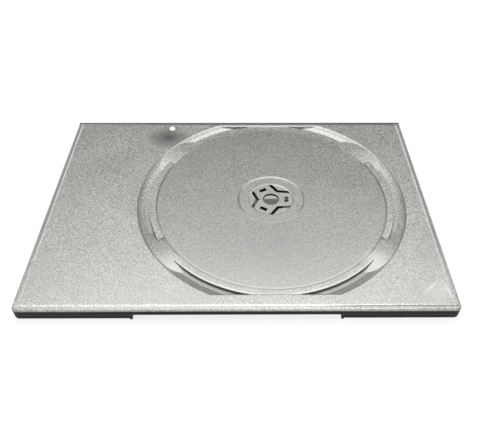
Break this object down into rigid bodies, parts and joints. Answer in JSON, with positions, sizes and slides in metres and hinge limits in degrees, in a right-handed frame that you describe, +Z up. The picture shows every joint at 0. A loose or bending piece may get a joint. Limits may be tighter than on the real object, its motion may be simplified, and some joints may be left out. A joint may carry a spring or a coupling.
{
  "type": "double dvd case",
  "caption": "Slim closed double disc case in moulded plastic: recessed disc wells with push hubs on both outer faces, folding spine and a thumb notch at the opening edge.",
  "frame": {"origin": "middle of the closed case's footprint, on the surface it lies on", "axes": "+X along the long side, +Y from the opening edge to the spine, +Z up through the closed case"},
  "size_m": [0.19, 0.1334, 0.007],
  "materials": {
    "half_plastic": "fine-grained polypropylene, satin",
    "hub_plastic": "smooth polypropylene",
    "spine_plastic": "satin polypropylene"
  },
  "bodies": {
    "lower": {"lower_half": "half_plastic"},
    "spine": {"spine": "spine_plastic"},
    "upper": {"upper_half": "half_plastic"},
    "upper_hub": {"upper_hub": "hub_plastic"},
    "lower_hub": {"lower_hub": "hub_plastic"}
  },
  "joints": [
    {"name": "lower_hinge", "type": "hinge", "parent": "lower", "child": "spine", "pos_m": [0, 0.06625, 0.00045], "axis": [-1, 0, 0], "range_deg": [0, 90]},
    {"name": "upper_hinge", "type": "hinge", "parent": "spine", "child": "upper", "pos_m": [0, 0.06625, 0.00655], "axis": [-1, 0, 0], "range_deg": [0, 90]},
    {"name": "upper_hub_press", "type": "slide", "parent": "upper", "child": "upper_hub", "axis": [0, 0, 1], "range_m": [0, 0.0008], "stiffness_N_per_m": 2000},
    {"name": "lower_hub_press", "type": "slide", "parent": "lower", "child": "lower_hub", "axis": [0, 0, -1], "range_m": [0, 0.0008], "stiffness_N_per_m": 2000}
  ]
}
